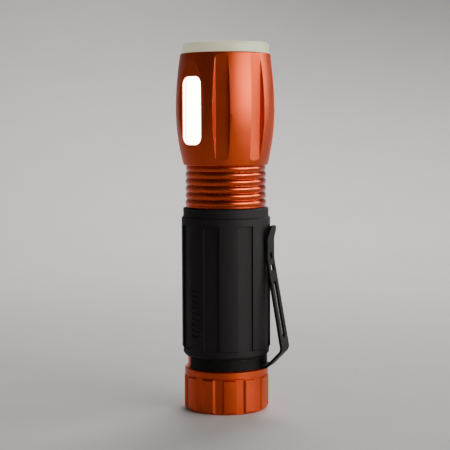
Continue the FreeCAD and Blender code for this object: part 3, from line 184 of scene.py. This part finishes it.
def rubber(name, color, grain_mm=0.30, depth=0.035, rough=0.62, worn=0.35):
    """Moulded rubber: a fine stipple, cloudy bloom and rubbed edges."""
    tree = Tree(name)
    cloud = tree.noise(9.0, 4.0, 0.6)
    stipple = tree.cells(grain_mm)
    fine = tree.noise(0.12, 2.0, 0.6)
    edge, rounded = tree.edges(0.18)
    patches = tree.span(tree.noise(3.5, 4.0, 0.6), 0.42, 0.62, 0.1, worn)
    rubbed = tree.math("MULTIPLY", edge, patches)
    tone = tree.mix(tree.span(cloud, 0.35, 0.68), shade(color, 0.82), shade(color, 1.22))
    tone = tree.mix(tree.span(tree.noise(22.0, 5.0, 0.7), 0.58, 0.78, 0.0, 0.25), tone,
                    shade(color, 2.2))
    tone = tree.mix(rubbed, tone, shade(color, 3.4))
    normal = tree.bump(stipple, depth, 0.55, rounded)
    normal = tree.bump(fine, 0.012, 0.5, normal)
    roughness = tree.span(cloud, 0.3, 0.7, rough - 0.06, rough + 0.08)
    return tree.set(Base_Color=tone, Roughness=roughness, Specular_IOR_Level=0.26,
                    Normal=normal).material


def plastic(name, color, rough=0.45, grain_mm=0.35, depth=0.012, mottle=0.08):
    """Moulded plastic with a spark-eroded grain."""
    tree = Tree(name)
    cloud = tree.noise(11.0, 3.0, 0.5)
    grain = tree.noise(grain_mm, 3.0, 0.6)
    edge, rounded = tree.edges(0.15)
    tone = tree.mix(tree.span(cloud, 0.3, 0.7), shade(color, 1 - mottle), shade(color, 1 + mottle))
    tone = tree.mix(tree.math("MULTIPLY", edge, 0.25), tone, shade(color, 1.8))
    normal = tree.bump(grain, depth, 0.6, rounded)
    roughness = tree.span(grain, 0.35, 0.7, rough - 0.06, rough + 0.07)
    return tree.set(Base_Color=tone, Roughness=roughness, Normal=normal).material


def metal(name, color, rough=0.28, lines=(0.06, 0.06, 2.5), worn=0.2, dark=0.8):
    """Machined or drawn metal: fine lines along one way, spots and rubbed edges."""
    tree = Tree(name)
    drawn = tree.noise(0.35, 3.0, 0.6, tree.stretch(*lines))
    cloud = tree.noise(5.0, 4.0, 0.6)
    edge, rounded = tree.edges(0.12)
    tone = tree.mix(tree.span(cloud, 0.3, 0.7), shade(color, dark), color)
    tone = tree.mix(tree.math("MULTIPLY", edge, worn), tone, shade(color, 1.35))
    roughness = tree.math("ADD", tree.span(cloud, 0.3, 0.7, rough - 0.05, rough + 0.07),
                          tree.span(drawn, 0.3, 0.7, -0.05, 0.05))
    normal = tree.bump(drawn, 0.008, 0.6, rounded)
    return tree.set(Base_Color=tone, Metallic=1.0, Roughness=roughness, Normal=normal).material


def coated_steel(name):
    """Spring steel under a thin black coat: satin, with hairline scratches and bare edges."""
    tree = Tree(name)
    cloud = tree.noise(7.0, 4.0, 0.6)
    hair = tree.noise(0.5, 2.0, 0.6, tree.stretch(2.4, 2.4, 0.06))
    edge, rounded = tree.edges(0.16)
    chips = tree.span(tree.noise(1.8, 4.0, 0.65), 0.50, 0.64, 0.0, 0.75)
    bare = tree.math("MULTIPLY", edge, chips)
    color = srgb(9, 9, 9)
    tone = tree.mix(tree.span(cloud, 0.3, 0.7), shade(color, 0.75), shade(color, 1.2))
    tone = tree.mix(tree.span(hair, 0.66, 0.75, 0.0, 0.35), tone, srgb(46, 44, 42))
    tone = tree.mix(bare, tone, srgb(150, 145, 138))
    roughness = tree.math("ADD", tree.span(cloud, 0.3, 0.7, 0.50, 0.60),
                          tree.span(hair, 0.35, 0.65, -0.04, 0.04))
    normal = tree.bump(hair, 0.006, 0.5, rounded)
    normal = tree.bump(tree.noise(0.18, 2.0, 0.6), 0.006, 0.5, normal)
    return tree.set(Base_Color=tone, Roughness=roughness, Specular_IOR_Level=0.15,
                    Normal=normal).material


def luminous_painted_glow(name):
    """Photoluminescent plastic: milky, faintly speckled, with a little depth, and a painted glow.
    """
    tree = Tree(name)
    cloud = tree.noise(6.0, 3.0, 0.5)
    speck = tree.noise(0.35, 2.0, 0.7)
    edge, rounded = tree.edges(0.25)
    tone = tree.mix(tree.span(cloud, 0.3, 0.7), srgb(158, 155, 128), srgb(172, 169, 142))
    tone = tree.mix(tree.span(speck, 0.62, 0.75, 0.0, 0.35), tone, srgb(150, 156, 118))
    normal = tree.bump(speck, 0.008, 0.5, rounded)
    tree.set(Base_Color=tone, Roughness=tree.span(cloud, 0.3, 0.7, 0.30, 0.42), Normal=normal)
    inputs = tree.shader.inputs
    inputs["Subsurface Weight"].default_value = 0.45
    inputs["Subsurface Radius"].default_value = (1.0, 1.0, 0.8)
    inputs["Subsurface Scale"].default_value = 1.6 * MM
    # Painted glow: this emission brightens the whole ring, its shaded side too, though the ring is
    # no lamp.
    inputs["Emission Color"].default_value = (1.0, 0.96, 0.66, 1.0)
    inputs["Emission Strength"].default_value = 0.42
    return tree.material


def clear(name, tint=(0.97, 0.99, 0.99, 1.0), rough=0.02, painted_glow=0.0):
    """Clear moulded lens with a faint smear, so that its gloss isn't perfectly even. Its optional
    emission is a painted glow on the lens itself.
    """
    tree = Tree(name)
    smear = tree.noise(7.0, 5.0, 0.65, distortion=0.6)
    dust = tree.cells(1.6)
    tree.set(Base_Color=tint, Roughness=tree.span(smear, 0.45, 0.75, rough, rough + 0.08),
             Normal=tree.bump(dust, 0.002, 0.15))
    inputs = tree.shader.inputs
    inputs["Transmission Weight"].default_value = 1.0
    inputs["IOR"].default_value = 1.49
    # Painted glow: the lens is no lamp, yet it emits, so that it looks lit through from the strip
    # behind it.
    if painted_glow:
        inputs["Emission Color"].default_value = (1.0, 0.95, 0.86, 1.0)
        inputs["Emission Strength"].default_value = painted_glow
    return tree.material


def light_strip(name, strength):
    """Phosphor gel over rows of small chips, lit."""
    tree = Tree(name)
    gel = tree.noise(1.2, 3.0, 0.5)
    chips = tree.cells(1.3)
    hot = tree.span(chips, 0.15, 0.6, 1.0, 0.75)
    tone = tree.mix(tree.span(gel, 0.3, 0.7), srgb(255, 224, 120), srgb(255, 234, 150))
    tree.set(Base_Color=tone, Roughness=0.35, Normal=tree.bump(chips, 0.05, 0.5))
    tree.set(Emission_Strength=tree.math("MULTIPLY", hot, strength))
    tree.shader.inputs["Emission Color"].default_value = (1.0, 0.93, 0.82, 1.0)
    return tree.material


def mirror_cup(name):
    """Vacuum-metallised reflector with a fine orange peel."""
    tree = Tree(name)
    peel = tree.cells(0.9, "SMOOTH_F1")
    haze = tree.noise(5.0, 3.0, 0.5)
    tone = tree.mix(tree.span(haze, 0.3, 0.7), (0.86, 0.86, 0.85, 1.0), (0.93, 0.93, 0.92, 1.0))
    return tree.set(Base_Color=tone, Metallic=1.0, Normal=tree.bump(peel, 0.03, 0.6),
                    Roughness=tree.span(haze, 0.3, 0.7, 0.06, 0.12)).material


def circuit_board(name, mask, copper):
    """Solder mask over copper tracks, with bare gold pads showing here and there."""
    tree = Tree(name)
    tracks = tree.cells(2.4, "DISTANCE_TO_EDGE", tree.stretch(1.0, 1.0, 1.0, 0.4))
    pads = tree.cells(3.1)
    tone = tree.mix(tree.span(tracks, 0.10, 0.14), shade(mask, 1.35), mask)
    pad = tree.span(pads, 0.10, 0.13, 1.0, 0.0)
    tone = tree.mix(pad, tone, copper)
    height = tree.math("ADD", tree.span(tracks, 0.10, 0.14, 1.0, 0.0), pad)
    tree.set(Base_Color=tone, Metallic=pad, Roughness=tree.span(pads, 0.2, 0.6, 0.22, 0.32),
             Normal=tree.bump(height, 0.03, 0.5))
    return tree.material


def cell_wrap(name, low, high, upright):
    """A cell's plain film sleeve: a dark body, a copper-coloured shoulder and bare steel ends."""
    tree = Tree(name)
    height = tree.axis("Z")
    share = tree.span(height, low, high) if upright else tree.span(height, high, low)
    end_mask = tree.math("ADD", tree.span(share, 0.02, 0.022, 1.0, 0.0),
                         tree.span(share, 0.972, 0.974))
    shoulder = tree.span(share, 0.72, 0.722)
    cloud = tree.noise(8.0, 3.0, 0.5)
    film = tree.mix(tree.span(cloud, 0.3, 0.7), srgb(34, 36, 42), srgb(46, 48, 56))
    film = tree.mix(shoulder, film, srgb(186, 112, 58))
    line = tree.math("MULTIPLY", tree.span(share, 0.69, 0.692),
                     tree.span(share, 0.70, 0.702, 1.0, 0.0))
    film = tree.mix(line, film, srgb(215, 215, 210))
    tone = tree.mix(end_mask, film, srgb(178, 178, 176))
    seam = tree.noise(1.0, 3.0, 0.6, tree.stretch(1.2, 1.2, 0.15))
    tree.set(Base_Color=tone, Metallic=tree.math("MAXIMUM", end_mask, tree.math(
        "MULTIPLY", shoulder, 0.7)), Roughness=tree.span(seam, 0.3, 0.7, 0.24, 0.36),
        Normal=tree.bump(seam, 0.02, 0.4))
    return tree.material


# ---- materials on the parts -----------------------------------------------------------------


def paint(material, *names):
    """Gives a material to CAD nodes, in every slot they have."""
    for name in names:
        mesh = NODES[name].data
        if not mesh.materials:
            mesh.materials.append(material)
        for index in range(len(mesh.materials)):
            mesh.materials[index] = material


orange = anodised("orange_anodised_fine", ORANGE)
brass = metal("plated_brass", srgb(214, 178, 104), 0.24)
black_plastic = plastic("black_moulded", srgb(34, 34, 36), 0.5)
white_plastic = plastic("white_moulded", srgb(226, 226, 220), 0.5)
seal = rubber("seal_rubber_fine", srgb(30, 30, 31), 0.6, 0.01, 0.42, 0.15)
plain_aluminium = metal("turned_aluminium", srgb(198, 199, 202), 0.3)
gold = metal("gold_spring_wire", srgb(224, 186, 104), 0.2)
green_board = circuit_board("green_board_mask", srgb(22, 84, 46), srgb(226, 188, 110))
white_board = circuit_board("white_board_mask", srgb(226, 228, 224), srgb(226, 188, 110))

paint(anodised("orange_anodised_head", ORANGE, turned_below=NECK_TOP), "head_shell")
paint(orange, "tail_cap_shell", "barrel_tube")
paint(rubber("grip_rubber_fine", srgb(21, 18, 20)), "grip_sleeve")
paint(rubber("button_rubber_fine", srgb(34, 33, 35), 0.45, 0.03, 0.55), "button_key")
# The glow bezel's material carries a painted glow.
paint(luminous_painted_glow("luminous_ring_painted_glow"), "glow_bezel")
paint(clear("front_lens_clear"), "front_lens")
# The work window gets a painted glow of strength 2.2 on top of the lit strip behind it.
paint(clear("work_window_clear_painted_glow", (1.0, 0.99, 0.97, 1.0), 0.05, 2.2), "work_light_window")
paint(clear("emitter_dome_clear", (1.0, 0.96, 0.75, 1.0), 0.03), "led_dome")
paint(light_strip("work_light_phosphor", 26.0), "work_light_strip")
paint(light_strip("spot_phosphor", 2.0), "led_package")
paint(mirror_cup("reflector_mirror_cup"), "reflector")
paint(coated_steel("black_spring_steel"), "pocket_clip")
paint(metal("nickel_magnet", srgb(192, 190, 184), 0.16), "tail_magnet")
paint(metal("bright_spring_wire", srgb(196, 196, 196), 0.22), "carrier_springs")
paint(brass, "carrier_rear_contact", "carrier_front_button", "carrier_tabs",
      "tail_contact_plate", "driver_retaining_ring")
paint(gold, "tail_spring", "contact_spring")
paint(plain_aluminium, "heatsink_pill", "tail_retaining_ring")
paint(black_plastic, "carrier_rear_plate", "carrier_front_plate", "carrier_spine",
      "button_retainer", "switch_body", "driver_components", "magnet_cover")
paint(white_plastic, "led_centring_ring", "switch_plunger", "work_light_dam")
paint(seal, "lens_gasket", "tail_o_ring", "head_o_ring")
paint(green_board, "driver_board", "switch_board")
paint(white_board, "led_board", "work_light_board")
paint(plastic("red_insulation", srgb(168, 34, 28), 0.4, 0.5, 0.01), "spot_wires")
paint(plastic("white_insulation", srgb(214, 214, 208), 0.4, 0.5, 0.01), "work_light_wires")
paint(plastic("black_insulation", srgb(36, 36, 36), 0.4, 0.5, 0.01), "switch_wires")
for number, upright in ((1, True), (2, False), (3, True)):
    node = f"battery_cell_{number}"
    low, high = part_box(node)
    paint(cell_wrap(f"cell_film_{number}", low.z, high.z, upright), node)


# ---- stage ----------------------------------------------------------------------------------


def stage_material(name, color, rough):
    tree = Tree(name)
    cloud = tree.noise(60.0, 4.0, 0.5)
    grain = tree.noise(0.8, 2.0, 0.6)
    tone = tree.mix(tree.span(cloud, 0.3, 0.7), shade(color, 0.98), shade(color, 1.02))
    return tree.set(Base_Color=tone, Roughness=rough, Normal=tree.bump(grain, 0.02, 0.2)).material


def floor_and_backdrop():
    """A pale round sweep: a floor that curves up into a wall on every side."""
    reach, radius, height, segments, bend_steps = 1.3, 0.9, 1.8, 96, 16
    profile = []
    for step in range(bend_steps + 1):
        angle = math.radians(90 * step / bend_steps)
        profile.append((reach - radius + radius * math.sin(angle),
                        radius - radius * math.cos(angle)))
    profile.append((reach, height))
    mesh = bmesh.new()
    rings = []
    for distance, z in profile:
        turns = [2 * math.pi * index / segments for index in range(segments)]
        rings.append([mesh.verts.new((distance * math.cos(turn), distance * math.sin(turn), z))
                      for turn in turns])
    mesh.faces.new(rings[0])
    for low, high in zip(rings, rings[1:]):
        for index in range(segments):
            after = (index + 1) % segments
            mesh.faces.new((low[after], low[index], high[index], high[after])).smooth = True
    data = bpy.data.meshes.new("sweep")
    mesh.to_mesh(data)
    mesh.free()
    sweep = bpy.data.objects.new("sweep", data)
    bpy.context.scene.collection.objects.link(sweep)
    data.materials.append(stage_material("pale_sweep", (0.62, 0.61, 0.60, 1.0), 0.8))


def area_light(name, azimuth, elevation, size, power, color, spread, target):
    """A soft box aimed at target, in degrees, metres and watts.

    Azimuth is measured from the camera, and spread is the angle that its grid lets through.
    """
    data = bpy.data.lights.new(name, "AREA")
    data.shape = "RECTANGLE"
    data.size, data.size_y = size
    data.energy = power
    data.color = color
    data.spread = math.radians(spread)
    lamp = bpy.data.objects.new(name, data)
    bpy.context.scene.collection.objects.link(lamp)
    turn = CAMERA_AZIMUTH + math.radians(azimuth)
    tilt = math.radians(elevation)
    away = Vector((math.sin(turn) * math.cos(tilt), -math.cos(turn) * math.cos(tilt),
                   math.sin(tilt)))
    lamp.location = target + away * LIGHT_DISTANCE
    lamp.rotation_euler = (-away).to_track_quat("-Z", "Y").to_euler()


CAMERA_AZIMUTH = math.radians(19.1)
CAMERA_REACH = 0.5023
CAMERA_HEIGHT = 0.1154
CAMERA_PITCH = math.radians(4.50)
CAMERA_YAW = math.radians(0.042)
CAMERA_ROLL = math.radians(-0.22)
CAMERA_LENS = 97.8
SENSOR_WIDTH = 36.0
LIGHT_DISTANCE = 0.9
LIGHT_TARGET = Vector((0, 0, 0.075))
BEHIND = Vector((-math.sin(CAMERA_AZIMUTH), math.cos(CAMERA_AZIMUTH), 0)) * 0.5


def make_camera():
    data = bpy.data.cameras.new("camera")
    data.lens = CAMERA_LENS
    data.sensor_width = SENSOR_WIDTH
    data.clip_start, data.clip_end = 0.01, 20.0
    camera = bpy.data.objects.new("camera", data)
    bpy.context.scene.collection.objects.link(camera)
    camera.location = (math.sin(CAMERA_AZIMUTH) * CAMERA_REACH,
                       -math.cos(CAMERA_AZIMUTH) * CAMERA_REACH, CAMERA_HEIGHT)
    level = Euler((math.radians(90) - CAMERA_PITCH, 0, CAMERA_AZIMUTH)).to_matrix()
    aim = level @ Matrix.Rotation(CAMERA_YAW, 3, "Y") @ Matrix.Rotation(CAMERA_ROLL, 3, "Z")
    camera.rotation_euler = aim.to_euler()
    bpy.context.scene.camera = camera


def make_world():
    world = bpy.data.worlds.new("studio")
    world.use_nodes = True
    background = world.node_tree.nodes["Background"]
    background.inputs["Color"].default_value = (0.80, 0.82, 0.86, 1.0)
    background.inputs["Strength"].default_value = 0.04
    bpy.context.scene.world = world


floor_and_backdrop()
make_camera()
make_world()
area_light("key_box", azimuth=54, elevation=8, size=(1.20, 0.45), power=6.0,
           color=(1.0, 0.96, 0.92), spread=90, target=LIGHT_TARGET)
area_light("edge_box", azimuth=100, elevation=12, size=(0.35, 0.6), power=0.38,
           color=(1.0, 0.98, 0.96), spread=45, target=LIGHT_TARGET)
area_light("backdrop_box", azimuth=160, elevation=60, size=(0.9, 0.5), power=3.8,
           color=(1.0, 0.99, 0.98), spread=85, target=BEHIND)
